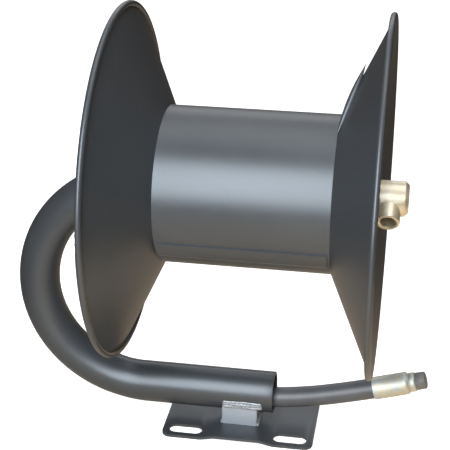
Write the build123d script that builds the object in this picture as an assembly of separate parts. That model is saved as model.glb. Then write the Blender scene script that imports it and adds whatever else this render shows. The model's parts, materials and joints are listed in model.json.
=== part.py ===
"""Wall or bench mounted fire hose reel: a dished-flange drum that turns on a
bent tube arm, fed through the arm by a hose that ends in a brass swivel.

Frame: millimetres, +Z up, origin at the centre of the base plate's underside.
The reel's axis runs along +X, from the arm's bend towards the swivel, a little
in front of the plate's centre. The front, where the hose is pulled off, faces -Y.
Shapes on the reel are drawn with the reel's axis over y = 0, and save() puts
them in their place over the plate.
"""
from build123d import *
import math
import os

# ---- driving dimensions (mm) -------------------------------------------------
AXIS_Z = 273.1            # reel axis above the underside of the base plate
REEL_Y = -7.5             # reel axis in front of the plate's centre

FLANGE_R = 177.8          # 14 inch flange
BEAD_R = 3.1              # rolled edge of a flange
REEL_W = 255.6            # between the planes of the two rolled edges
CONE_DEPTH = 43.7         # how far each flange is dished towards the drum
SHEET = 2.0               # flange and drum sheet
DRUM_R = 78.3
REEL_X = 8.4              # middle of the drum

ARM_R = 21.8              # arm tube, outside
ARM_WALL = 3.0
UPPER_BEND_R = 121.3      # centreline radii of the arm's bend
LOWER_BEND_R = 112.9
BEND_LEFT_X = -216.2      # outermost point of the bend's centreline
ARM_MOUTH_X = 35.0        # open lower end of the tube
ARM_END_X = 106.0         # upper end of the tube, past the right hub

PLATE_L = 160.0
PLATE_W = 104.0
PLATE_T = 3.0
PLATE_LIFT = 3.1          # the middle of the plate is pressed up by this much
PLATE_MIDDLE = 24.0       # half length of the raised middle
PLATE_TAB = 38.0          # where the flat tabs begin, from the centre
PLATE_CORNER_R = 9.0
SLOT_PITCH_X = 111.3
SLOT_PITCH_Y = 77.0
SLOT_L = 35.4
SLOT_W = 14.5
BLOCK_L = 38.0            # saddle block
BLOCK_W = 37.4

HOSE_R = 10.7
HOSE_BORE_R = 6.35        # half inch bore
FERRULE_R = 11.9
FERRULE_L = 30.0
STUB_SLOPE = 16.9         # degrees, how steeply the hose end rises

BUSH_R = 26.0             # outside of the drum's plain bushes
HUB_R = 34.0
RUN_GAP = 0.1             # radial clearance of a running fit
SIDE_GAP = 0.35           # clearance along the axis between turning faces

ROD_R = 4.0               # tie rods, M8
ROD_PCD_R = 60.0

SWIVEL_R = 17.3
SWIVEL_X0 = 120.0
SWIVEL_X1 = 158.4
PORT_X = 143.4
PORT_TILT = 29.0          # degrees below horizontal, towards the front
PORT_R = 11.6
PORT_BORE_R = 7.6
PORT_REACH = 30.0         # from the reel axis to the port's face

CAP_R = 9.1
CAP_L = 15.5

# ---- derived -----------------------------------------------------------------
LEFT_RIM_X = REEL_X - REEL_W / 2
RIGHT_RIM_X = REEL_X + REEL_W / 2
LEFT_DISC_X = LEFT_RIM_X + CONE_DEPTH
RIGHT_DISC_X = RIGHT_RIM_X - CONE_DEPTH
LOWER_Z = AXIS_Z - UPPER_BEND_R - LOWER_BEND_R
BEND_Z = LOWER_Z + LOWER_BEND_R               # height of the bend's outermost point
ARM_BORE_R = ARM_R - ARM_WALL
RIM_R = FLANGE_R - BEAD_R

os.makedirs("parts", exist_ok=True)


# ---- helpers -----------------------------------------------------------------
def save(name, *solids, y=REEL_Y):
    """Write one node of one or more solids, moved along Y into place."""
    placed = [Pos(0, y, 0) * solid for solid in solids]
    shape = placed[0] if len(placed) == 1 else Compound(children=placed)
    shape.label = name
    export_step(shape, f"parts/{name}.step")


def on_axis(profile):
    """Revolve an (x, radius) outline about the reel axis."""
    face = make_face(Polyline(*profile, close=True).edges())
    return Pos(0, 0, AXIS_Z) * revolve(Plane.XZ * face, Axis.X, 360)


def tube_x(x0, x1, r_out, r_in=0.0):
    """A ring or rod on the reel axis."""
    return on_axis([(x0, r_in), (x1, r_in), (x1, r_out), (x0, r_out)])


def rod_x(x0, x1, r):
    """A plain rod along +X about the line y = z = 0."""
    return Plane.YZ.offset(x0) * extrude(Circle(r), x1 - x0)


def hex_x(x0, x1, flats, bore=0.0):
    """A hexagon prism along +X about y = z = 0, with an optional bore."""
    section = RegularPolygon(flats / 2, 6, major_radius=False)
    if bore:
        section -= Circle(bore)
    return Plane.YZ.offset(x0) * extrude(section, x1 - x0)


# ---- base --------------------------------------------------------------------
def base_plate():
    """Pressed plate: two end tabs with two slots each, the middle lifted by soft joggles."""
    half = PLATE_L / 2
    lift = PLATE_LIFT
    shift = PLATE_T * math.tan(math.atan2(lift, PLATE_TAB - PLATE_MIDDLE) / 2)
    top = [(-half, PLATE_T), (-PLATE_TAB, PLATE_T), (-PLATE_MIDDLE, PLATE_T + lift),
           (PLATE_MIDDLE, PLATE_T + lift), (PLATE_TAB, PLATE_T), (half, PLATE_T)]
    under = [(half, 0), (PLATE_TAB + shift, 0), (PLATE_MIDDLE + shift, lift),
             (-PLATE_MIDDLE - shift, lift), (-PLATE_TAB - shift, 0), (-half, 0)]
    section = make_face(Polyline(*top, *under, close=True).edges())
    plate = extrude(Plane.XZ.offset(PLATE_W / 2) * section, -PLATE_W)
    joggles = [e for e in plate.edges().filter_by(Axis.Y) if abs(e.center().X) < PLATE_TAB + 2]
    plate = fillet(joggles, 20.0)
    corners = [e for e in plate.edges().filter_by(Axis.Z) if abs(e.center().X) > half - 1]
    plate = fillet(corners, PLATE_CORNER_R)
    slot = Pos(0, 0, -1) * extrude(SlotOverall(SLOT_L, SLOT_W), PLATE_T + 2)
    for sx in (-1, 1):
        for sy in (-1, 1):
            plate -= Pos(sx * SLOT_PITCH_X / 2, sy * SLOT_PITCH_Y / 2, 0) * slot
    return plate


def saddle_block():
    """Block with a round seat that carries the arm on the plate."""
    z0 = PLATE_T + PLATE_LIFT
    block = Pos(0, 0, z0) * Box(BLOCK_L, BLOCK_W, 24, align=(Align.CENTER, Align.CENTER, Align.MIN))
    block = chamfer(block.edges().filter_by(Axis.Z), 1.0)
    return block - Pos(0, 0, LOWER_Z) * rod_x(-60, 60, ARM_R)


def weld_bead(start, end, radius, lumps):
    """A run of overlapping weld lumps between two points."""
    bead = None
    for i in range(lumps):
        t = i / (lumps - 1)
        place = [a + (b - a) * t for a, b in zip(start, end)]
        size = radius * (1.0 + 0.12 * math.sin(2.4 * i))
        lump = Pos(*place) * Sphere(size)
        bead = lump if bead is None else bead + lump
    return bead


def block_welds():
    """Heavy beads in the corner of block and tube, front and back, past the block's right end."""
    y = BLOCK_W / 2 + 0.3
    z = LOWER_Z - 6.8
    beads = []
    for side in (-1, 1):
        bead = weld_bead((-16, side * y, z), (21, side * y, z), 4.4, 15)
        bead -= Pos(0, 0, LOWER_Z) * rod_x(-60, 60, ARM_R)
        bead -= Box(BLOCK_L, BLOCK_W, 80)
        beads.append(bead)
    return beads


def plate_welds():
    """Fillet beads where the block stands on the plate, at its two ends."""
    z = PLATE_T + PLATE_LIFT
    beads = []
    for side in (-1, 1):
        x = side * BLOCK_L / 2
        bead = weld_bead((x, -BLOCK_W / 2 + 3, z), (x, BLOCK_W / 2 - 3, z), 2.0, 11)
        bead -= Pos(0, 0, z) * Box(BLOCK_L, BLOCK_W, 40, align=(Align.CENTER, Align.CENTER, Align.MIN))
        bead -= Pos(0, 0, z) * Box(200, 200, 20, align=(Align.CENTER, Align.CENTER, Align.MAX))
        beads.append(bead)
    return beads


# ---- arm ---------------------------------------------------------------------
def arm_tube():
    """One bent tube: open lower mouth, U-shaped bend, straight upper leg as axle."""
    middle = (BEND_LEFT_X, 0, BEND_Z)
    low_x = BEND_LEFT_X + LOWER_BEND_R
    high_x = BEND_LEFT_X + UPPER_BEND_R
    diagonal = math.sqrt(0.5)
    low_half = (low_x - diagonal * LOWER_BEND_R, 0, BEND_Z - diagonal * LOWER_BEND_R)
    high_half = (high_x - diagonal * UPPER_BEND_R, 0, BEND_Z + diagonal * UPPER_BEND_R)
    lower = Line((ARM_MOUTH_X, 0, LOWER_Z), (low_x, 0, LOWER_Z))
    rising = ThreePointArc((low_x, 0, LOWER_Z), low_half, middle)
    turning = ThreePointArc(middle, high_half, (high_x, 0, AXIS_Z))
    upper = Line((high_x, 0, AXIS_Z), (ARM_END_X, 0, AXIS_Z))
    path = Wire([lower.edge(), rising.edge(), turning.edge(), upper.edge()])
    section = Circle(ARM_R) - Circle(ARM_BORE_R)
    start = Plane(origin=(ARM_MOUTH_X, 0, LOWER_Z), z_dir=(-1, 0, 0))
    return sweep(start * section, path=path)


COLLAR_L = 9.0
COLLAR_R = 31.0


def stop_collar():
    """Ring welded to the upper leg: the drum's left bush runs against it."""
    x1 = LEFT_DISC_X - SHEET - 2.0 - SIDE_GAP
    return tube_x(x1 - 6.0, x1, 29.0, ARM_R)


def retaining_collar():
    """Split-free collar held by two set screws outside the right bush."""
    x0 = RIGHT_DISC_X + SHEET + 2.0 + SIDE_GAP
    ring = chamfer(tube_x(x0, x0 + COLLAR_L, COLLAR_R, ARM_R).edges().filter_by(GeomType.CIRCLE), 0.6)
    for turn in (0, 90):
        hole = Pos(x0 + COLLAR_L / 2, 0, AXIS_Z) * Rot(turn, 0, 0) * Pos(0, 0, ARM_R - 1)
        ring -= hole * Cylinder(SET_SCREW_R, 20, align=(Align.CENTER, Align.CENTER, Align.MIN))
    return ring


SET_SCREW_R = 3.0


def collar_set_screws():
    """Two hexagon-socket set screws, flush in the collar."""
    x0 = RIGHT_DISC_X + SHEET + 2.0 + SIDE_GAP
    length = COLLAR_R - ARM_R - 0.8
    screws = []
    for turn in (0, 90):
        body = Cylinder(SET_SCREW_R, length, align=(Align.CENTER, Align.CENTER, Align.MIN))
        socket = extrude(RegularPolygon(1.5, 6, major_radius=False), 3.0)
        body -= Pos(0, 0, length - 3.0) * socket
        screws.append(Pos(x0 + COLLAR_L / 2, 0, AXIS_Z) * Rot(turn, 0, 0) * Pos(0, 0, ARM_R) * body)
    return screws


PLUG_IN = 20.0            # how far the end plug reaches into the tube
PLUG_LIP = 5.0
STEM_THREAD_R = 10.4      # half inch pipe thread of the swivel's stem
PLUG_X0 = ARM_END_X - PLUG_IN
PLUG_X1 = ARM_END_X + PLUG_LIP
STEM_THREAD_L = 13.0
NIPPLE_R = 7.0            # thread of the hose's inner fitting


def end_plug():
    """Turned plug in the tube's upper end: it joins the hose's fitting to the swivel."""
    body = on_axis([(PLUG_X0, NIPPLE_R), (PLUG_X1 - STEM_THREAD_L, NIPPLE_R),
                    (PLUG_X1 - STEM_THREAD_L, STEM_THREAD_R), (PLUG_X1, STEM_THREAD_R),
                    (PLUG_X1, ARM_R - 0.8), (PLUG_X1 - 0.8, ARM_R), (ARM_END_X, ARM_R),
                    (ARM_END_X, ARM_BORE_R), (PLUG_X0, ARM_BORE_R)])
    return body


# ---- inlet hose ----------------------------------------------------------------
FITTING_HEX_L = 8.0
INNER_HEX_X = PLUG_X0 - FITTING_HEX_L
INNER_HOSE_X = INNER_HEX_X - 4.0
RISE = math.tan(math.radians(STUB_SLOPE))
HOSE_END = (166.0, LOWER_Z + 24.2)
LAST_CORNER_X = 112.0

OCTAGON = math.tan(math.radians(22.5))         # half a side of the octagon round a bend, to its radius
UPPER_SIDE = UPPER_BEND_R * OCTAGON
LOWER_SIDE = LOWER_BEND_R * OCTAGON

# the hose's route as (x, z) corners in the plane y = 0, from the end plug to the free end
HOSE_ROUTE = [
    (INNER_HOSE_X, AXIS_Z),
    (16.0, AXIS_Z),
    (-52.0, AXIS_Z - 3.5),
    (BEND_LEFT_X + UPPER_BEND_R - UPPER_SIDE, AXIS_Z + 0.5),
    (BEND_LEFT_X, BEND_Z + UPPER_SIDE),
    (BEND_LEFT_X, BEND_Z - LOWER_SIDE),
    (BEND_LEFT_X + LOWER_BEND_R - LOWER_SIDE, LOWER_Z),
    (-50.0, LOWER_Z - 7.0),
    (12.0, LOWER_Z - 8.0),
    (56.0, LOWER_Z - 4.4),
    (LAST_CORNER_X, HOSE_END[1] - (HOSE_END[0] - LAST_CORNER_X) * RISE),
    HOSE_END,
]


def corner_radii(points):
    """The largest arc that each corner's two runs allow."""
    radii = []
    for a, b, c in zip(points, points[1:], points[2:]):
        before = Vector(b[0] - a[0], 0, b[1] - a[1])
        after = Vector(c[0] - b[0], 0, c[1] - b[1])
        half_turn = math.radians(before.get_angle(after)) / 2
        radii.append(0.45 * min(before.length, after.length) / math.tan(half_turn))
    return radii


def inlet_hose():
    """Wire-braid hose, whole, from the end plug through the arm and out of its mouth."""
    radii = corner_radii(HOSE_ROUTE)
    print("hose radii:", [round(r) for r in radii])
    path = FilletPolyline(*[(x, 0, z) for x, z in HOSE_ROUTE], radius=radii)
    start = Plane(origin=(HOSE_ROUTE[0][0], 0, HOSE_ROUTE[0][1]), z_dir=(-1, 0, 0))
    section = Circle(HOSE_R) - Circle(HOSE_BORE_R)
    hose = sweep(start * section, path=path)
    print("hose length:", round(path.length, 1), "volume ratio:", hose.volume / section.area / path.length)
    return hose


def along_stub(distance):
    """The plane square to the free end of the hose, a distance past the hose's end."""
    a = math.radians(STUB_SLOPE)
    x = HOSE_END[0] + distance * math.cos(a)
    z = HOSE_END[1] + distance * math.sin(a)
    return Plane(origin=(x, 0, z), x_dir=(0, 1, 0), z_dir=(math.cos(a), 0, math.sin(a)))


def turned(plane, profile):
    """Revolve a (distance along the plane's normal, radius) outline about that normal."""
    face = make_face(Polyline(*[(r, d) for d, r in profile], close=True).edges())
    return plane * revolve(Plane.XZ * face, Axis.Z, 360)


def ferrule_profile(length):
    """Swaged sleeve: rounded mouth, smooth barrel and a drawn-in nose that grips the fitting."""
    return [(0, HOSE_R), (0, FERRULE_R - 0.5), (0.6, FERRULE_R), (length - 6.5, FERRULE_R - 0.1),
            (length - 5.5, FERRULE_R - 0.6), (length - 1.5, HOSE_R - 0.6), (length, HOSE_R - 1.4),
            (length, HOSE_BORE_R), (length - 2.0, HOSE_BORE_R), (length - 2.0, HOSE_R)]


def inner_ferrule():
    """Sleeve crimped on the hose inside the upper leg."""
    plane = Plane(origin=(INNER_HOSE_X - FERRULE_L + 2.0, 0, AXIS_Z), x_dir=(0, 1, 0), z_dir=(1, 0, 0))
    return turned(plane, ferrule_profile(FERRULE_L))


def inner_fitting():
    """Hose tail, hexagon and male thread screwed into the end plug."""
    tail = tube_x(INNER_HOSE_X - 28, INNER_HEX_X, HOSE_BORE_R, 4.2)
    hexagon = Pos(0, 0, AXIS_Z) * hex_x(INNER_HEX_X, PLUG_X0, 19.0, 4.2)
    thread = tube_x(PLUG_X0, PLUG_X0 + 7.0, NIPPLE_R, 4.2)
    return tail + hexagon + thread


def outer_ferrule():
    """Zinc-plated sleeve crimped on the free end."""
    return turned(along_stub(2.0 - FERRULE_L), ferrule_profile(FERRULE_L))


THREAD_R = 8.25           # three-eighths male taper thread at the inlet


def outer_fitting():
    """Male inlet fitting: hose tail, round collar with two flats, and the thread."""
    tail = turned(along_stub(-28.0), [(0, 4.2), (0, HOSE_BORE_R), (30.0, HOSE_BORE_R), (30.0, 4.2)])
    collar = turned(along_stub(2.0), [(0, 4.2), (0, 9.0), (1.0, 9.9), (8.2, 9.9), (9.2, 9.2), (9.2, 4.2)])
    flats = along_stub(2.0) * Pos(0, 0, 5.5) * (Box(30, 30, 6) - Box(18.4, 40, 8))
    crests = []
    pitch = 1.41
    d = 11.2
    while d < 24.0:
        crests += [(d, THREAD_R - 0.5), (d + pitch * 0.5, THREAD_R)]
        d += pitch
    thread = turned(along_stub(0.0), [(11.2, 4.2)] + crests + [(25.0, THREAD_R - 0.7), (25.0, 4.2)])
    return tail + (collar - flats) + thread


def thread_cap():
    """Push-on plastic cap with a domed end."""
    inner = THREAD_R + RUN_GAP / 2
    depth = CAP_L - 1.4
    d0 = 12.0
    outline = [(d0, inner), (d0, CAP_R - 0.2), (d0 + 0.3, CAP_R), (d0 + CAP_L - 1.6, CAP_R - 0.15),
               (d0 + CAP_L - 0.5, CAP_R - 0.9), (d0 + CAP_L, CAP_R - 2.4), (d0 + CAP_L, 0),
               (d0 + depth, 0), (d0 + depth, inner)]
    return turned(along_stub(0.0), outline)


# ---- swivel --------------------------------------------------------------------
STEM_R = 7.5
STEM_BORE_R = 4.5
STEM_HEX_X = PLUG_X1
STEM_HEX_L = 7.0
STEM_END_X = 135.4
CHAMBER_X = 131.0
CHAMBER_R = 11.0
CAP_THREAD_X = 154.3
SEAL_X = (122.4, 126.6)
SEAL_W = 2.4
BEVEL = 3.6               # on the swivel's closed end


def swivel_stem():
    """Fixed stem screwed into the end plug; the brass body turns on it."""
    thread = tube_x(PLUG_X1 - STEM_THREAD_L + 1.0, PLUG_X1, STEM_THREAD_R, STEM_BORE_R)
    hexagon = Pos(0, 0, AXIS_Z) * hex_x(STEM_HEX_X, STEM_HEX_X + STEM_HEX_L, 25.0, STEM_BORE_R)
    groove = (CHAMBER_X + 1.8, CHAMBER_X + 3.0)
    shaft = on_axis([(STEM_HEX_X + STEM_HEX_L, STEM_BORE_R), (STEM_HEX_X + STEM_HEX_L, STEM_R),
                     (groove[0], STEM_R), (groove[0], STEM_R - 0.8), (groove[1], STEM_R - 0.8),
                     (groove[1], STEM_R), (STEM_END_X - 0.8, STEM_R), (STEM_END_X, STEM_R - 0.8),
                     (STEM_END_X, STEM_BORE_R)])
    return thread + hexagon + shaft


def port_direction():
    """Places a solid built along +Z on the swivel's port axis."""
    return Pos(PORT_X, 0, AXIS_Z) * Rot(90 + PORT_TILT, 0, 0)


def swivel_body():
    """Brass body with two seal grooves, a water chamber and the threaded port."""
    bore = STEM_R + RUN_GAP
    outline = [(SWIVEL_X0, bore)]
    for x in SEAL_X:
        outline += [(x, bore), (x, bore + 1.8), (x + SEAL_W, bore + 1.8), (x + SEAL_W, bore)]
    outline += [(CHAMBER_X, bore), (CHAMBER_X, CHAMBER_R), (CAP_THREAD_X, CHAMBER_R),
                (CAP_THREAD_X, CHAMBER_R + 2.0), (SWIVEL_X1, CHAMBER_R + 2.0), (SWIVEL_X1, SWIVEL_R),
                (SWIVEL_X0 + 1.0, SWIVEL_R), (SWIVEL_X0, SWIVEL_R - 1.0)]
    body = on_axis(outline)
    root = CHAMBER_R + 2.2
    boss = Pos(0, 0, root) * Cylinder(PORT_R, PORT_REACH - root, align=(Align.CENTER, Align.CENTER, Align.MIN))
    boss = chamfer(boss.edges().filter_by(GeomType.CIRCLE).sort_by(Axis.Z)[-1], 0.5)
    drill = Pos(0, 0, CHAMBER_R - 3.0) * Cylinder(PORT_BORE_R, 40, align=(Align.CENTER, Align.CENTER, Align.MIN))
    mouth = Pos(0, 0, PORT_REACH - 1.0) * Cone(PORT_BORE_R, PORT_BORE_R + 1.3, 1.0,
                                               align=(Align.CENTER, Align.CENTER, Align.MIN))
    body = body + port_direction() * boss
    return body - port_direction() * (drill + mouth)


def swivel_end_cap():
    """Screwed plug that closes the chamber, with a bevelled rim and a key hexagon."""
    plug = on_axis([(CAP_THREAD_X + 0.6, 0), (CAP_THREAD_X + 0.6, CHAMBER_R + 2.0), (SWIVEL_X1, CHAMBER_R + 2.0),
                    (SWIVEL_X1, SWIVEL_R - 0.3), (SWIVEL_X1 + BEVEL, SWIVEL_R - BEVEL), (SWIVEL_X1 + BEVEL, 0)])
    key = Pos(0, 0, AXIS_Z) * hex_x(SWIVEL_X1 - 1.0, SWIVEL_X1 + 5.0, 10.0)
    return plug - key


def swivel_seals():
    """Two O-rings in the body's grooves."""
    rings = []
    for x in SEAL_X:
        r_mid = STEM_R + RUN_GAP / 2 + 0.9
        ring = Torus(r_mid, 0.88)
        rings.append(Pos(x + SEAL_W / 2, 0, AXIS_Z) * Rot(0, 90, 0) * ring)
    return rings


def swivel_thrust_washer():
    """Washer between the stem's hexagon and the body."""
    x0 = STEM_HEX_X + STEM_HEX_L
    return tube_x(x0, SWIVEL_X0 - SIDE_GAP, 12.0, STEM_R)


def swivel_circlip():
    """Snap ring in the stem's groove, with its washer it keeps the body on the stem."""
    ring = tube_x(CHAMBER_X + 1.85, CHAMBER_X + 2.95, STEM_R + 1.6, STEM_R - 0.8)
    gap = Pos(CHAMBER_X + 2.4, 0, AXIS_Z + STEM_R) * Box(4, 4.0, 6)
    return ring - gap


def swivel_inner_washer():
    """Washer between the snap ring and the body's shoulder."""
    return tube_x(CHAMBER_X + SIDE_GAP, CHAMBER_X + 1.85, 10.0, STEM_R)


# ---- drum ----------------------------------------------------------------------
HUB_BORE_R = 30.0         # hole in the middle of each flange


def disc_plane_x(side):
    """Drum side of a flange's flat disc; side is -1 at the left, 1 at the right."""
    return LEFT_DISC_X if side < 0 else RIGHT_DISC_X


def cone_faces(side):
    """The (x, radius) ends of a cone's drum-side face and of its outer face."""
    disc_x = disc_plane_x(side)
    rim_x = disc_x + side * CONE_DEPTH
    length = math.hypot(CONE_DEPTH, RIM_R - DRUM_R)
    out_x = side * (RIM_R - DRUM_R) / length
    out_r = -CONE_DEPTH / length
    inner, outer = BEAD_R - SHEET, BEAD_R
    drum_face = ((disc_x, DRUM_R), (rim_x + inner * out_x, RIM_R + inner * out_r))
    outer_face = ((disc_x + side * SHEET, DRUM_R - 0.9), (rim_x + outer * out_x, RIM_R + outer * out_r))
    return drum_face, outer_face


def flange_section(side):
    """Half section of a dished flange: flat disc, cone, and an edge rolled towards the drum."""
    disc_x = disc_plane_x(side)
    drum_face, outer_face = cone_faces(side)
    outline = [(disc_x, HUB_BORE_R), (disc_x + side * SHEET, HUB_BORE_R), *outer_face,
               drum_face[1], drum_face[0]]
    sheet = make_face(Polyline(*outline, close=True).edges())
    return sheet + Pos(disc_x + side * CONE_DEPTH, RIM_R) * Circle(BEAD_R)


def dished_flange(side):
    """One flange with its curled edge."""
    turned_sheet = revolve(Plane.XZ * flange_section(side), Axis.X, 360)
    flange = Pos(0, 0, AXIS_Z) * turned_sheet
    for hole in rod_places():
        flange -= hole * rod_x(-400, 400, ROD_R + 0.4)
    return flange


def rod_places():
    """Where the four tie rods run."""
    places = []
    for degrees in (45, 135, 225, 315):
        a = math.radians(degrees)
        places.append(Pos(0, ROD_PCD_R * math.cos(a), AXIS_Z + ROD_PCD_R * math.sin(a)))
    return places


SEAM_ANGLE = 24.0         # the lap's free edge, degrees below the front
LAP_ANGLE = 13.0
LAP_T = 1.6


def drum_shell():
    """Rolled sheet whose free edge laps over itself along the drum's length."""
    length = RIGHT_DISC_X - LEFT_DISC_X
    ring = Circle(DRUM_R - 0.1) - Circle(DRUM_R - SHEET)
    shell = Plane.YZ.offset(LEFT_DISC_X) * extrude(ring, length)

    def point(radius, degrees):
        a = math.radians(degrees)
        return (-radius * math.cos(a), radius * math.sin(a))

    start, full, end = -SEAM_ANGLE, -SEAM_ANGLE - LAP_ANGLE, -SEAM_ANGLE - LAP_ANGLE - 6
    low = DRUM_R - 0.6
    high = DRUM_R + LAP_T
    outer = ThreePointArc(point(high, start), point(high, (start + full) / 2), point(high, full))
    ramp = Line(point(high, full), point(low, end))
    inner = ThreePointArc(point(low, end), point(low, (start + end) / 2), point(low, start))
    edge = Line(point(low, start), point(high, start))
    lap_face = make_face([outer.edge(), ramp.edge(), inner.edge(), edge.edge()])
    notch = 2.5
    lap = Plane.YZ.offset(LEFT_DISC_X + notch) * extrude(lap_face, length - 2 * notch)
    return Pos(0, 0, AXIS_Z) * (shell + lap)


def hub(side):
    """Turned bearing housing in the middle of a flange, with a flange inside the drum."""
    disc_x = disc_plane_x(side)
    return on_axis([(disc_x + side * SHEET, BUSH_R), (disc_x + side * SHEET, HUB_BORE_R),
                    (disc_x, HUB_BORE_R), (disc_x, HUB_R + 8), (disc_x - side * 4, HUB_R + 8),
                    (disc_x - side * 4, HUB_R), (disc_x - side * 22, HUB_R), (disc_x - side * 22, BUSH_R)])


def bush(side):
    """Flanged nylon bush that turns on the arm tube."""
    disc_x = disc_plane_x(side)
    face = disc_x + side * SHEET
    bore = ARM_R + RUN_GAP
    return on_axis([(face + side * 2, bore), (face + side * 2, BUSH_R + 3.5), (face, BUSH_R + 3.5),
                    (face, BUSH_R), (disc_x - side * 20, BUSH_R), (disc_x - side * 20, bore)])


WASHER_T = 1.6
NUT_T = 6.5


def tie_rods():
    """Four threaded rods that pull the flanges against the drum."""
    reach = SHEET + WASHER_T + NUT_T + 3
    rod = chamfer(rod_x(LEFT_DISC_X - reach, RIGHT_DISC_X + reach, ROD_R).edges(), 0.6)
    return [place * rod for place in rod_places()]


def tie_washers():
    """One washer under each nut."""
    ring = Plane.YZ * extrude(Circle(8) - Circle(ROD_R + 0.2), WASHER_T)
    out = RIGHT_DISC_X + SHEET
    inn = LEFT_DISC_X - SHEET - WASHER_T
    return [place * Pos(x, 0, 0) * ring for place in rod_places() for x in (inn, out)]


def tie_nuts():
    """Hexagon nuts on both ends of the tie rods."""
    nut = hex_x(0, NUT_T, 13.0, ROD_R)
    out = RIGHT_DISC_X + SHEET + WASHER_T
    inn = LEFT_DISC_X - SHEET - WASHER_T - NUT_T
    return [place * Pos(x, 0, 0) * nut for place in rod_places() for x in (inn, out)]


# the hose guide: a slim lip along the opening that the wound hose passes through
GUIDE_LOW = (79.0, 66.6, 1.4)     # (radius, degrees above the front, height off the cone) of its ends
GUIDE_HIGH = (131.0, 92.0, 3.1)
GUIDE_RISE = 3.6                  # how far the lip bulges off the line between its ends
OPENING_W = 27.0
CONE_SLOPE = math.atan2(CONE_DEPTH, RIM_R - DRUM_R)


def on_cone(radius, degrees, height):
    """A point over the drum side of the right cone."""
    a = math.radians(degrees)
    x = RIGHT_DISC_X + (radius - DRUM_R) * math.tan(CONE_SLOPE) - height * math.cos(CONE_SLOPE)
    r = radius + height * math.sin(CONE_SLOPE)
    return Vector(x, -r * math.cos(a), AXIS_Z + r * math.sin(a))


def guide_plane():
    """Plane whose X runs between the lip's ends and whose Z leaves the cone."""
    low, high = on_cone(*GUIDE_LOW), on_cone(*GUIDE_HIGH)
    along = (high - low).normalized()
    middle = (low + high) * 0.5
    a = math.atan2(middle.Z - AXIS_Z, -middle.Y)
    sine = math.sin(CONE_SLOPE)
    normal = Vector(-math.cos(CONE_SLOPE), -sine * math.cos(a), sine * math.sin(a))
    normal = (normal - along * normal.dot(along)).normalized()
    return Plane(origin=middle, x_dir=along, z_dir=normal), (high - low).length


def lemon(length, rise):
    """A slim solid along X whose round sections swell to the middle, with small blunt ends."""
    sections = []
    for i in range(9):
        share = i / 4 - 1
        section = Circle(max(0.3, rise * (1 - share ** 2)))
        sections.append(Plane.YZ.offset(share * length / 2) * section)
    return loft(sections)


def flange_opening():
    """Oblong opening in the right cone behind the lip, for a hose and its fitting."""
    plane, length = guide_plane()
    slot = extrude(SlotOverall(length - 10, OPENING_W), 30, both=True)
    return plane * Pos(0, OPENING_W / 2 - 2, 0) * slot


def hose_guide():
    """Formed lip, rounded to the front and flat to the back where it hangs over the opening."""
    plane, length = guide_plane()
    front = Pos(0, -25, 0) * Box(length + 10, 51, 60)
    foot, edge = cone_faces(1)[0]
    behind = on_axis([(foot[0], 0), foot, edge, (edge[0] + 20, edge[1]), (edge[0] + 20, 0)])
    drum = tube_x(LEFT_DISC_X, RIGHT_DISC_X + 0.1, DRUM_R + 0.1)
    return plane * (lemon(length, GUIDE_RISE) & front) - behind - drum


def build():
    """Write every node."""
    save("base_plate", base_plate(), y=0)
    save("saddle_block", saddle_block())
    save("saddle_welds", *block_welds())
    save("plate_welds", *plate_welds())
    save("arm_tube", arm_tube())
    save("stop_collar", stop_collar())
    save("retaining_collar", retaining_collar())
    save("collar_set_screws", *collar_set_screws())
    save("end_plug", end_plug())
    save("inlet_hose", inlet_hose())
    save("inner_ferrule", inner_ferrule())
    save("inner_fitting", inner_fitting())
    save("outer_ferrule", outer_ferrule())
    save("outer_fitting", outer_fitting())
    save("thread_cap", thread_cap())
    save("swivel_stem", swivel_stem())
    save("swivel_body", swivel_body())
    save("swivel_end_cap", swivel_end_cap())
    save("swivel_seals", *swivel_seals())
    save("swivel_thrust_washer", swivel_thrust_washer())
    save("swivel_inner_washer", swivel_inner_washer())
    save("swivel_circlip", swivel_circlip())
    save("drum_shell", drum_shell())
    save("left_flange", dished_flange(-1))
    save("right_flange", dished_flange(1) - flange_opening())
    save("hose_guide", hose_guide())
    save("left_hub", hub(-1))
    save("right_hub", hub(1))
    save("left_bush", bush(-1))
    save("right_bush", bush(1))
    save("tie_rods", *tie_rods())
    save("tie_washers", *tie_washers())
    save("tie_nuts", *tie_nuts())


build()
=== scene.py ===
"""Looks of the fire hose reel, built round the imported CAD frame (metres, +Z up)."""
import json
import math

import bmesh
import bpy
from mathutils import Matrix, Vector


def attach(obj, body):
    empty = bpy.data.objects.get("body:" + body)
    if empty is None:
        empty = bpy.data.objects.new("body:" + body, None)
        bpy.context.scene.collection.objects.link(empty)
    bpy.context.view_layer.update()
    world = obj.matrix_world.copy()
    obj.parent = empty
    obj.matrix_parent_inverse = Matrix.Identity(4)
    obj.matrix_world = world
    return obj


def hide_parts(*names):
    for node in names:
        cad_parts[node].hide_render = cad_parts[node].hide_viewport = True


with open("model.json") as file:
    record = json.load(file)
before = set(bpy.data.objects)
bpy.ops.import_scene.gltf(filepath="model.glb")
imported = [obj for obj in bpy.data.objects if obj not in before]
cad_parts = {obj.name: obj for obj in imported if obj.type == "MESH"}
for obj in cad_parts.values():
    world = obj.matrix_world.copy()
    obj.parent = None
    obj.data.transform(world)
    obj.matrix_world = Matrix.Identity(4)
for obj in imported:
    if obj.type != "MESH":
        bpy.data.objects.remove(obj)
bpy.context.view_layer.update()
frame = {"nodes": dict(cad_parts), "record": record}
NODES = frame["nodes"]


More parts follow.
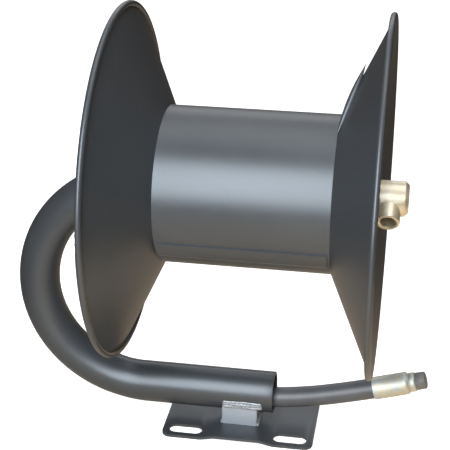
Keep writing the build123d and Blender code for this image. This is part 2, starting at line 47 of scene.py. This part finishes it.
# ---- node helpers ------------------------------------------------------------
def new_material(name):
    """An empty node material and its principled shader."""
    material = bpy.data.materials.new(name)
    material.use_nodes = True
    tree = material.node_tree
    tree.nodes.clear()
    shader = tree.nodes.new("ShaderNodeBsdfPrincipled")
    output = tree.nodes.new("ShaderNodeOutputMaterial")
    tree.links.new(shader.outputs["BSDF"], output.inputs["Surface"])
    return material, tree, shader


def add(tree, kind, inputs=None, **settings):
    """A node with its settings, and its inputs set or linked."""
    node = tree.nodes.new(kind)
    for key, value in settings.items():
        setattr(node, key, value)
    for key, value in (inputs or {}).items():
        if isinstance(value, bpy.types.NodeSocket):
            tree.links.new(value, node.inputs[key])
        else:
            node.inputs[key].default_value = value
    return node


def place(tree, scale=(1, 1, 1), rotation=(0, 0, 0), location=(0, 0, 0)):
    """Object coordinates, scaled and turned."""
    coords = add(tree, "ShaderNodeTexCoord")
    mapping = add(tree, "ShaderNodeMapping", {"Vector": coords.outputs["Object"], "Scale": scale,
                                              "Rotation": rotation, "Location": location})
    return mapping.outputs["Vector"]


def noise(tree, vector, scale, detail=3.0, roughness=0.55, distortion=0.0):
    """A noise texture's factor."""
    node = add(tree, "ShaderNodeTexNoise", {"Vector": vector, "Scale": scale, "Detail": detail,
                                            "Roughness": roughness, "Distortion": distortion})
    return node.outputs["Fac"]


def ramp(tree, fac, stops):
    """A colour ramp over (position, value or colour) stops."""
    node = add(tree, "ShaderNodeValToRGB", {"Fac": fac})
    elements = node.color_ramp.elements
    while len(elements) < len(stops):
        elements.new(0.5)
    for element, (position, colour) in zip(elements, stops):
        element.position = position
        if isinstance(colour, (int, float)):
            colour = (colour, colour, colour)
        element.color = (*colour, 1.0)
    return node.outputs["Color"]


MIX_FACTOR, MIX_A, MIX_B, MIX_RESULT = 0, 6, 7, 2       # a mix node's colour sockets


def mix(tree, fac, a, b):
    """Mix two colours, each a socket or a colour, by a socket's value."""
    node = add(tree, "ShaderNodeMix", data_type="RGBA")
    join(tree, fac, node.inputs[MIX_FACTOR])
    for index, value in ((MIX_A, a), (MIX_B, b)):
        if isinstance(value, bpy.types.NodeSocket):
            join(tree, value, node.inputs[index])
        else:
            node.inputs[index].default_value = (*value, 1.0)
    return node.outputs[MIX_RESULT]


def bump(tree, height, strength, distance, normal=None):
    """A bump node's normal."""
    inputs = {"Height": height, "Strength": strength, "Distance": distance}
    if normal is not None:
        inputs["Normal"] = normal
    return add(tree, "ShaderNodeBump", inputs).outputs["Normal"]


def join(tree, socket, target):
    """Link a socket to a shader's input."""
    tree.links.new(socket, target)


# ---- materials ---------------------------------------------------------------
SPECK_GAIN = 1.8          # how much paler than the paint a dust speck is


def satin_paint(name, dark, light, rough, metallic):
    """Sprayed satin paint: slight clouding, orange peel and dust specks."""
    material, tree, shader = new_material(name)
    where = place(tree)
    cloud = noise(tree, where, scale=9.0, detail=4.0, roughness=0.6)
    colour = ramp(tree, cloud, [(0.3, dark), (0.7, light)])
    specks = ramp(tree, noise(tree, where, scale=2600.0, detail=1.0), [(0.72, 0.0), (0.80, 1.0)])
    colour = mix(tree, specks, colour, tuple(min(1.0, c * SPECK_GAIN) for c in light))
    join(tree, colour, shader.inputs["Base Color"])
    gloss = add(tree, "ShaderNodeMapRange", {"Value": cloud, "From Min": 0.25, "From Max": 0.75,
                                             "To Min": rough[0], "To Max": rough[1]})
    join(tree, gloss.outputs["Result"], shader.inputs["Roughness"])
    shader.inputs["Metallic"].default_value = metallic
    peel = bump(tree, noise(tree, where, scale=420.0, detail=2.0), strength=0.08, distance=0.0006)
    fine = noise(tree, where, scale=1100.0, detail=2.0, roughness=0.5)
    grain = bump(tree, fine, strength=0.06, distance=0.0003, normal=peel)
    join(tree, grain, shader.inputs["Normal"])
    return material


def machined(name, low, high, rough, turning, metallic=1.0):
    """Turned metal: fine rings round X, light staining and a worn gloss."""
    material, tree, shader = new_material(name)
    where = place(tree)
    stain = noise(tree, where, scale=60.0, detail=4.0, roughness=0.6)
    join(tree, ramp(tree, stain, [(0.3, low), (0.7, high)]), shader.inputs["Base Color"])
    gloss = add(tree, "ShaderNodeMapRange", {"Value": stain, "From Min": 0.2, "From Max": 0.8,
                                             "To Min": rough[1], "To Max": rough[0]})
    join(tree, gloss.outputs["Result"], shader.inputs["Roughness"])
    shader.inputs["Metallic"].default_value = metallic
    rings = add(tree, "ShaderNodeTexWave", {"Vector": where, "Scale": 420.0, "Distortion": 1.5,
                                            "Detail": 2.0, "Detail Scale": 3.0}, bands_direction="X")
    lathe_marks = bump(tree, rings.outputs["Fac"], strength=turning, distance=0.0002)
    fine = noise(tree, where, scale=700.0, detail=2.0)
    skin = bump(tree, fine, strength=0.08, distance=0.0003, normal=lathe_marks)
    join(tree, skin, shader.inputs["Normal"])
    return material


def yellow_zinc():
    """Zinc plate with a chromate film whose tint drifts between straw, pink and green-blue."""
    material, tree, shader = new_material("yellow_zinc")
    where = place(tree)
    film = noise(tree, where, scale=70.0, detail=3.0, roughness=0.5, distortion=0.6)
    colour = ramp(tree, film, [(0.28, (0.46, 0.53, 0.54)), (0.44, (0.54, 0.57, 0.54)),
                               (0.58, (0.62, 0.58, 0.47)), (0.76, (0.56, 0.52, 0.51))])
    join(tree, colour, shader.inputs["Base Color"])
    shader.inputs["Metallic"].default_value = 0.8
    gloss = add(tree, "ShaderNodeMapRange", {"Value": film, "To Min": 0.50, "To Max": 0.62})
    join(tree, gloss.outputs["Result"], shader.inputs["Roughness"])
    skin = bump(tree, noise(tree, where, scale=800.0, detail=2.0), strength=0.06, distance=0.0003)
    join(tree, skin, shader.inputs["Normal"])
    return material


def hose_rubber():
    """Black hose cover with the fine print of its wrapping cloth."""
    material, tree, shader = new_material("hose_rubber")
    where = place(tree)
    cloud = noise(tree, where, scale=40.0, detail=4.0, roughness=0.6)
    colour = ramp(tree, cloud, [(0.3, (0.060, 0.064, 0.072)), (0.7, (0.090, 0.094, 0.104))])
    join(tree, colour, shader.inputs["Base Color"])
    shader.inputs["Roughness"].default_value = 0.40
    shader.inputs["Specular IOR Level"].default_value = 0.6
    weave = add(tree, "ShaderNodeTexWave", {"Vector": place(tree, rotation=(0, 0.5, 0)), "Scale": 260.0,
                                            "Distortion": 1.0, "Detail": 1.0}, bands_direction="X")
    cloth = bump(tree, weave.outputs["Fac"], strength=0.12, distance=0.0002)
    fine = noise(tree, where, scale=900.0, detail=2.0)
    join(tree, bump(tree, fine, strength=0.15, distance=0.0003, normal=cloth), shader.inputs["Normal"])
    return material


def plastic(name, dark, light, rough):
    """Moulded plastic or rubber with a fine grain."""
    material, tree, shader = new_material(name)
    where = place(tree)
    colour = ramp(tree, noise(tree, where, scale=80.0, detail=3.0), [(0.3, dark), (0.7, light)])
    join(tree, colour, shader.inputs["Base Color"])
    shader.inputs["Roughness"].default_value = rough
    skin = bump(tree, noise(tree, where, scale=1500.0, detail=2.0), strength=0.15, distance=0.0002)
    join(tree, skin, shader.inputs["Normal"])
    return material


def weld_metal():
    """Painted-over weld: blue-grey paint that thins to paler metal in spots."""
    material, tree, shader = new_material("weld")
    where = place(tree)
    spots = noise(tree, where, scale=420.0, detail=3.0, roughness=0.7)
    colour = ramp(tree, spots, [(0.35, (0.26, 0.28, 0.31)), (0.65, (0.42, 0.45, 0.50))])
    join(tree, colour, shader.inputs["Base Color"])
    shader.inputs["Metallic"].default_value = 0.35
    shader.inputs["Roughness"].default_value = 0.42
    skin = bump(tree, noise(tree, where, scale=700.0, detail=3.0), strength=0.2, distance=0.0004)
    join(tree, skin, shader.inputs["Normal"])
    return material


def make_materials():
    """One material for each slot of the record."""
    return {
        "powder_coat": satin_paint("powder_coat", (0.078, 0.086, 0.096), (0.094, 0.102, 0.112),
                                   rough=(0.36, 0.42), metallic=0.55),
        # pale blue-grey copy of the satin paint for the saddle block: its paleness is a painted reflection
        # of the front light on the block's face
        "block_coat": satin_paint("block_coat", (0.36, 0.40, 0.45), (0.42, 0.46, 0.51),
                                  rough=(0.42, 0.52), metallic=0.35),
        "weld": weld_metal(),
        "zinc_steel": machined("zinc_steel", (0.50, 0.51, 0.53), (0.66, 0.67, 0.69),
                               rough=(0.26, 0.40), turning=0.2),
        "yellow_zinc": yellow_zinc(),
        "brass": machined("brass", (0.88, 0.78, 0.58), (0.96, 0.90, 0.75),
                          rough=(0.36, 0.46), turning=0.08, metallic=0.82),
        "seal_rubber": plastic("seal_rubber", (0.012, 0.012, 0.012), (0.03, 0.03, 0.03), rough=0.6),
        "hose_rubber": hose_rubber(),
        "nylon": plastic("nylon", (0.66, 0.65, 0.60), (0.78, 0.77, 0.72), rough=0.5),
        "cap_plastic": plastic("cap_plastic", (0.13, 0.128, 0.126), (0.16, 0.158, 0.154), rough=0.5),
    }


def paint_cad_nodes(materials):
    """Give each CAD node the material of its slot."""
    for part in frame["record"]["subparts"]:
        obj = NODES[part["node"]]
        obj.data.materials.clear()
        obj.data.materials.append(materials[part["material_slot"]])


# ---- sizes shared with the CAD (metres) --------------------------------------
AXIS_Z = 0.2731
REEL_Y = -0.0075
UPPER_BEND_R = 0.1213
LOWER_BEND_R = 0.1129
BEND_LEFT_X = -0.2162
LOWER_Z = AXIS_Z - UPPER_BEND_R - LOWER_BEND_R
BEND_Z = LOWER_Z + LOWER_BEND_R
ARM_R = 0.0218
ARM_WALL = 0.003
ARM_MOUTH_X = 0.035
ARM_END_X = 0.106
HOSE_R = 0.0107
BLOCK_W = 0.0374


# ---- pieces ------------------------------------------------------------------
def link(name, data):
    """A new object in the scene."""
    obj = bpy.data.objects.new(name, data)
    bpy.context.scene.collection.objects.link(obj)
    return obj


ROUND_SIDES = 72          # round a turned piece or the arm tube
CRISP_ANGLE = math.radians(35.0)


def smooth(obj):
    """Smooth faces, with edges sharper than CRISP_ANGLE kept crisp."""
    mesh = obj.data
    mesh.polygons.foreach_set("use_smooth", [True] * len(mesh.polygons))
    mesh.set_sharp_from_angle(angle=CRISP_ANGLE)


def around(count):
    """Equal angles round a circle."""
    return [2 * math.pi * j / count for j in range(count)]


def ring_mesh(name, rings):
    """A closed surface through rings of equal length, the last joined to the first."""
    count = len(rings[0])
    points = [p for ring in rings for p in ring]
    faces = []
    for i in range(len(rings)):
        a, b = i * count, (i + 1) % len(rings) * count
        for j in range(count):
            k = (j + 1) % count
            faces.append((a + j, a + k, b + k, b + j))
    mesh = bpy.data.meshes.new(name)
    mesh.from_pydata(points, [], faces)
    return mesh


def finish_piece(obj, material, body, nodes):
    """Material, smooth shading, the body it moves with and the CAD nodes it stands for."""
    obj.data.materials.append(material)
    smooth(obj)
    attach(obj, body)
    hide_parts(*nodes)


LEG_STEPS = 12            # stations along each straight leg
BEND_STEPS = 40           # stations along each quarter turn of the bend
EASE_STEPS = 6            # stations over which the flattening comes in
BEND_SLIM = 0.045         # how much the tube flattens in its bend
LIP = 0.0006              # rounding of the tube's cut ends


def arm_path():
    """(x, z, direction, share of flattening) along the arm from its mouth to its upper end."""
    low_x = BEND_LEFT_X + LOWER_BEND_R
    high_x = BEND_LEFT_X + UPPER_BEND_R
    path = []
    for i in range(LEG_STEPS + 1):
        path.append((ARM_MOUTH_X + (low_x - ARM_MOUTH_X) * i / LEG_STEPS, LOWER_Z, math.pi, 0.0))
    for i in range(1, 2 * BEND_STEPS + 1):
        turn = math.pi / 2 * i / BEND_STEPS
        radius, centre_x = (LOWER_BEND_R, low_x) if i <= BEND_STEPS else (UPPER_BEND_R, high_x)
        share = min(1.0, i / EASE_STEPS, (2 * BEND_STEPS - i) / EASE_STEPS)
        x = centre_x - radius * math.sin(turn)
        z = BEND_Z - radius * math.cos(turn)
        path.append((x, z, math.pi - turn, share))
    for i in range(1, LEG_STEPS + 1):
        path.append((high_x + (ARM_END_X - high_x) * i / LEG_STEPS, AXIS_Z, 0.0, 0.0))
    return path


def arm_ring(x, z, direction, share, radius):
    """A ring of the arm tube round one station of its path."""
    across = (-math.sin(direction), math.cos(direction))
    points = []
    for a in around(ROUND_SIDES):
        out = radius * math.cos(a) * (1 - BEND_SLIM * share)
        points.append((x + across[0] * out, REEL_Y + radius * math.sin(a), z + across[1] * out))
    return points


def arm_end(x, z, direction, share):
    """Rings over a cut end, from the outside to the bore; the tube lies on the end's -X side."""
    bore = ARM_R - ARM_WALL
    steps = [(LIP, ARM_R), (LIP / 4, ARM_R - LIP / 4), (0, ARM_R - LIP),
             (0, bore + LIP), (LIP / 4, bore + LIP / 4), (LIP, bore)]
    return [arm_ring(x - back, z, direction, share, radius) for back, radius in steps]


def arm_tube(material):
    """The bent tube with its wall, rounded cut ends and the flattening of a cold bend."""
    path = arm_path()
    outer = [arm_ring(*step, ARM_R) for step in path[1:-1]]
    inner = [arm_ring(*step, ARM_R - ARM_WALL) for step in path[1:-1]]
    rings = arm_end(*path[0])[::-1] + outer + arm_end(*path[-1]) + inner[::-1]
    obj = link("arm_tube_formed", ring_mesh("arm_tube_formed", rings))
    finish_piece(obj, material, "frame", ["arm_tube"])


MERGE_DISTANCE = 1e-6
FLAT_ANGLE = math.radians(0.5)
ROUNDED_ANGLE = math.radians(28.0)      # edges sharper than this are rounded
ROUNDED_STEPS = 3


def softened(node, material, body, width):
    """A CAD node's copy with its sharp edges rounded."""
    source = NODES[node]
    obj = link(node + "_rounded", source.data.copy())
    obj.matrix_world = source.matrix_world.copy()
    work = bmesh.new()
    work.from_mesh(obj.data)
    bmesh.ops.remove_doubles(work, verts=work.verts, dist=MERGE_DISTANCE)
    bmesh.ops.dissolve_limit(work, angle_limit=FLAT_ANGLE, verts=work.verts, edges=work.edges)
    work.to_mesh(obj.data)
    work.free()
    rounding = obj.modifiers.new("rounding", "BEVEL")
    rounding.width = width
    rounding.segments = ROUNDED_STEPS
    rounding.limit_method = "ANGLE"
    rounding.angle_limit = ROUNDED_ANGLE
    bpy.context.view_layer.update()
    evaluated = obj.evaluated_get(bpy.context.evaluated_depsgraph_get())
    shape = bpy.data.meshes.new_from_object(evaluated)
    obj.modifiers.clear()
    obj.data = shape
    obj.data.materials.clear()
    finish_piece(obj, material, body, [node])


WELD_X0, WELD_X1 = -0.0185, 0.0245
WELD_SIDES = 16
RIPPLES = 15
RIPPLE_STEPS = 8          # stations along one ripple
RIPPLE_SWELL = 0.16       # of the bead's radius
BEAD_BASE = 0.86          # of the bead's radius, between ripples
BEAD_WAVE = 0.05          # slow change of the bead's radius
END_BLUNTNESS = 11        # a high power keeps the bead full almost to its ends
END_RADIUS = 0.02         # of the bead's radius, at its very ends
WELD_DRIFT = 0.0003       # how far a run wanders up and down
RIPPLE_LEAN = 0.0006
RIPPLE_SHIFT = 170.0      # shift of a run's ripples for each metre of height
DRIFT_SHIFT = 900.0       # shift of a run's drift for each metre of height
BEAD_WAVE_RATE = 27.0     # radians along a run
DRIFT_RATE = 9.0
WELD_STRANDS = (          # (distance out of the block's face, height from the tube's axis, radius)
    (0.0006, -0.0094, 0.0024),
    (0.0004, -0.0066, 0.0030),
    (0.0016, -0.0036, 0.0021),
)


def weld_strand(work, side, out, height, bead):
    """One rippled run of weld, closed at both ends; its height shifts the phase of its ripples."""
    steps = RIPPLES * RIPPLE_STEPS
    rings = []
    for i in range(steps + 1):
        t = i / steps
        x = WELD_X0 + (WELD_X1 - WELD_X0) * t
        phase = (t * RIPPLES + height * RIPPLE_SHIFT) % 1.0
        swell = math.sqrt(max(0.0, 1 - (2 * phase - 1) ** 2))
        ends = math.sqrt(max(0.0, 1 - abs(2 * t - 1) ** END_BLUNTNESS))
        share = BEAD_BASE + RIPPLE_SWELL * swell + BEAD_WAVE * math.sin(BEAD_WAVE_RATE * t)
        radius = bead * share * max(ends, END_RADIUS)
        drift = WELD_DRIFT * math.sin(DRIFT_RATE * t + height * DRIFT_SHIFT)
        ring = []
        for a in around(WELD_SIDES):
            lean = RIPPLE_LEAN * math.cos(a) * (phase - 0.5)
            y = REEL_Y + side * (BLOCK_W / 2 + out + radius * math.cos(a))
            z = LOWER_Z + height + drift + radius * math.sin(a)
            ring.append(work.verts.new((x + lean, y, z)))
        rings.append(ring)
    for a, b in zip(rings, rings[1:]):
        for j in range(WELD_SIDES):
            k = (j + 1) % WELD_SIDES
            work.faces.new((a[j], a[k], b[k], b[j]))
    work.faces.new(rings[0][::-1])
    work.faces.new(rings[-1])


def saddle_welds(material):
    """Rippled three-run fillet welds in the corner of block and tube, front and back."""
    mesh = bpy.data.meshes.new("saddle_welds_rippled")
    work = bmesh.new()
    for side in (-1, 1):
        for out, height, bead in WELD_STRANDS:
            weld_strand(work, side, out, height, bead)
    bmesh.ops.recalc_face_normals(work, faces=work.faces)
    work.to_mesh(mesh)
    work.free()
    obj = link("saddle_welds_rippled", mesh)
    finish_piece(obj, material, "frame", ["saddle_welds"])


# the hose's route as (x, z) corners in the reel's plane, from the end plug to the free end
OCTAGON = math.tan(math.radians(22.5))      # two corners of 45 degrees make a quarter turn
HOSE_ROUTE = [
    (0.074, AXIS_Z),
    (0.016, AXIS_Z),
    (-0.052, AXIS_Z - 0.0035),
    (BEND_LEFT_X + UPPER_BEND_R * (1 - OCTAGON), AXIS_Z + 0.0005),
    (BEND_LEFT_X, BEND_Z + UPPER_BEND_R * OCTAGON),
    (BEND_LEFT_X, BEND_Z - LOWER_BEND_R * OCTAGON),
    (BEND_LEFT_X + LOWER_BEND_R * (1 - OCTAGON), LOWER_Z),
    (-0.050, LOWER_Z - 0.007),
    (0.012, LOWER_Z - 0.008),
    (0.056, LOWER_Z - 0.0044),
    (0.112, LOWER_Z + 0.0078),
    (0.166, LOWER_Z + 0.0242),
]


# the end fitting's outlines as (distance past the hose's end, radius), from the mouth outwards
STUB_SLOPE = math.radians(16.9)
HOSE_BORE_R = 0.00635
TAIL_BORE_R = 0.0042
FERRULE_OUTLINE = [
    (-0.0280, 0.0107), (-0.0280, 0.0114), (-0.0277, 0.0118), (-0.0270, 0.0119), (-0.0200, 0.0119),
    (-0.0080, 0.01185), (0.0040, 0.0118), (0.0068, 0.01165), (0.0082, 0.0111), (0.0094, 0.0102),
    (0.0102, 0.0093), (0.0104, 0.0088), (0.0104, HOSE_BORE_R), (0.0, HOSE_BORE_R), (0.0, 0.0107),
]
THREAD_R = 0.00825
THREAD_START = 0.0170
THREAD_PITCH = 0.00141
THREAD_TURNS = 5
THREAD_DEPTH = 0.0005
COLLAR_OUTLINE = [
    (-0.0260, TAIL_BORE_R), (-0.0260, HOSE_BORE_R), (0.0100, HOSE_BORE_R), (0.0100, 0.0092),
    (0.0108, 0.0098), (0.0118, 0.0101), (0.0150, 0.0101), (0.0160, 0.0097), (0.0166, 0.0090),
    (0.0166, THREAD_R - 0.0008),
]
THREAD_END_OUTLINE = [(0.0245, THREAD_R - THREAD_DEPTH), (0.0250, THREAD_R - 0.0009), (0.0250, TAIL_BORE_R)]
CAP_OUTLINE = [
    (0.0171, 0.0084), (0.0171, 0.0089), (0.0174, 0.0091), (0.0230, 0.0090), (0.0259, 0.00895),
    (0.0266, 0.0086), (0.0271, 0.0079), (0.0275, 0.0065), (0.0275, 0.0), (0.0261, 0.0), (0.0261, 0.0084),
]
LEAST_RADIUS = 1e-5       # a ring on the axis is this small, so that it stays a ring


def lathe(name, outline):
    """A turned piece along the hose's end."""
    end_x, end_z = HOSE_ROUTE[-1]
    along = (math.cos(STUB_SLOPE), math.sin(STUB_SLOPE))
    rings = []
    for distance, wanted in outline:
        radius = max(wanted, LEAST_RADIUS)
        ring = []
        for a in around(ROUND_SIDES):
            up = radius * math.sin(a)
            x = end_x + along[0] * distance - along[1] * up
            z = end_z + along[1] * distance + along[0] * up
            ring.append((x, REEL_Y + radius * math.cos(a), z))
        rings.append(ring)
    return link(name, ring_mesh(name, rings))


def end_fitting(materials):
    """Crimped sleeve with a drawn-in nose, fitting with its collar and thread, and the push-on cap."""
    zinc = materials["yellow_zinc"]
    ferrule = lathe("outer_ferrule_crimped", FERRULE_OUTLINE)
    finish_piece(ferrule, zinc, "frame", ["outer_ferrule"])
    crests = []
    for turn in range(THREAD_TURNS):
        at = THREAD_START + turn * THREAD_PITCH
        crests += [(at, THREAD_R - THREAD_DEPTH), (at + THREAD_PITCH / 2, THREAD_R)]
    fitting = lathe("outer_fitting_turned", COLLAR_OUTLINE + crests + THREAD_END_OUTLINE)
    finish_piece(fitting, zinc, "frame", ["outer_fitting"])
    cap = lathe("thread_cap_moulded", CAP_OUTLINE)
    finish_piece(cap, materials["cap_plastic"], "cap", ["thread_cap"])
    return [ferrule, fitting, cap]


def inlet_hose(material, fitting_pieces):
    """The hose, whole, as a round NURBS cord from the end plug to its ferrule."""
    curve = bpy.data.curves.new("inlet_hose_cord", "CURVE")
    curve.dimensions = "3D"
    curve.bevel_depth = HOSE_R
    curve.bevel_resolution = 10
    curve.resolution_u = 16
    curve.use_fill_caps = True
    line = curve.splines.new("NURBS")
    line.points.add(len(HOSE_ROUTE) - 1)
    for point, (x, z) in zip(line.points, HOSE_ROUTE):
        point.co = (x, REEL_Y, z, 1.0)
    line.order_u = 3
    line.use_endpoint_u = True
    curve.materials.append(material)
    hose = link("inlet_hose_cord", curve)
    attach(hose, "frame")
    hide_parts("inlet_hose")


# ---- stage -------------------------------------------------------------------
CAMERA_PLACE = (0.1721, -1.1293, 0.7720)
CAMERA_DOWN = math.radians(25.418)
CAMERA_TURN = math.radians(9.648)
LENS = 100.46


def make_camera():
    """Camera at the reference view."""
    data = bpy.data.cameras.new("camera")
    data.lens = LENS
    data.sensor_width = 36.0
    data.clip_start = 0.05
    data.clip_end = 60.0
    camera = link("camera", data)
    camera.location = CAMERA_PLACE
    camera.rotation_euler = (math.pi / 2 - CAMERA_DOWN, 0, CAMERA_TURN)
    bpy.context.scene.camera = camera


def area_light(name, place_at, size, power, colour=(1, 1, 1)):
    """A soft rectangular light aimed at the reel."""
    data = bpy.data.lights.new(name, "AREA")
    data.shape = "RECTANGLE"
    data.size, data.size_y = size
    data.energy = power
    data.color = colour
    light = link(name, data)
    light.location = place_at
    direction = Vector(LIGHT_AIM) - Vector(place_at)
    light.rotation_euler = direction.to_track_quat("-Z", "Y").to_euler()


FLOOR_HALF = 9.0
FLOOR_GLOW = 0.72         # keeps shadows on the white floor faint
# reach and middle of the painted pool of light on the floor as reflections see it
LIT_REACH_X = 0.58
LIT_REACH_Y = 1.3
LIT_MIDDLE_X = 0.15


def make_floor():
    """White floor; in reflections it counts as a brown workshop floor with a painted pool of light round
    the reel, darker further out.
    """
    mesh = bpy.data.meshes.new("floor")
    corners = [(-1, -1), (1, -1), (1, 1), (-1, 1)]
    mesh.from_pydata([(x * FLOOR_HALF, y * FLOOR_HALF, 0) for x, y in corners], [], [(0, 1, 2, 3)])
    floor = link("floor", mesh)
    material, tree, white = new_material("floor_white")
    colour = ramp(tree, noise(tree, place(tree), scale=1.3, detail=2.0), [(0.3, 0.88), (0.7, 0.90)])
    join(tree, colour, white.inputs["Base Color"])
    white.inputs["Roughness"].default_value = 0.9
    white.inputs["Emission Color"].default_value = (0.96, 0.98, 1.0, 1)
    white.inputs["Emission Strength"].default_value = FLOOR_GLOW
    # painted light: a pool of light painted onto the reflected brown floor round the reel, fading to
    # painted shade further out
    patch = place(tree, scale=(1 / LIT_REACH_X, 1 / LIT_REACH_Y, 1),
                  location=(-LIT_MIDDLE_X / LIT_REACH_X, 0, 0))
    lit = add(tree, "ShaderNodeTexGradient", {"Vector": patch}, gradient_type="SPHERICAL")
    painted_light_pool = ramp(tree, lit.outputs["Fac"], [(0.0, (0.13, 0.10, 0.08)), (0.4, (0.72, 0.58, 0.44)),
                                           (0.9, (0.95, 0.74, 0.52))])
    brown = add(tree, "ShaderNodeBsdfDiffuse", {"Color": painted_light_pool})
    path = add(tree, "ShaderNodeLightPath")
    either = add(tree, "ShaderNodeMixShader", {"Fac": path.outputs["Is Camera Ray"]})
    join(tree, brown.outputs["BSDF"], either.inputs[1])
    join(tree, white.outputs["BSDF"], either.inputs[2])
    output = next(n for n in tree.nodes if n.type == "OUTPUT_MATERIAL")
    join(tree, either.outputs["Shader"], output.inputs["Surface"])
    mesh.materials.append(material)


LIGHT_AIM = (0, 0, 0.22)
WORLD_LIGHT = (0.090, 0.081, 0.072)
WORLD_SEEN = (0.78, 0.79, 0.80)


def make_world():
    """Dark, warm surroundings that look pale to the camera."""
    world = bpy.data.worlds.new("studio")
    world.use_nodes = True
    tree = world.node_tree
    path = add(tree, "ShaderNodeLightPath")
    colour = mix(tree, path.outputs["Is Camera Ray"], WORLD_LIGHT, WORLD_SEEN)
    join(tree, colour, tree.nodes["Background"].inputs["Color"])
    bpy.context.scene.world = world


def make_lights():
    """Tall cool softbox at the front, a light overhead, a lit wall behind and a warm card on the right."""
    area_light("front", (-0.17, -1.40, 1.02), size=(0.9, 1.5), power=42, colour=(0.90, 0.96, 1.0))
    area_light("top", (0.2, 0.3, 2.2), size=(2.4, 1.6), power=22)
    area_light("wall", (-0.5, 3.0, 1.7), size=(3.0, 1.4), power=22)
    area_light("card", (2.6, -0.3, 1.3), size=(1.8, 1.8), power=5, colour=(1.0, 0.86, 0.70))
    bpy.context.scene.view_settings.view_transform = "Standard"


def main():
    """Build the scene."""
    materials = make_materials()
    paint_cad_nodes(materials)
    paint, brass = materials["powder_coat"], materials["brass"]
    arm_tube(paint)
    saddle_welds(materials["weld"])
    inlet_hose(materials["hose_rubber"], end_fitting(materials))
    softened("base_plate", paint, "frame", width=0.0008)
    softened("saddle_block", materials["block_coat"], "frame", width=0.0009)
    softened("swivel_body", brass, "swivel", width=0.0005)
    softened("swivel_end_cap", brass, "swivel", width=0.0003)
    make_floor()
    make_world()
    make_lights()
    make_camera()


main()
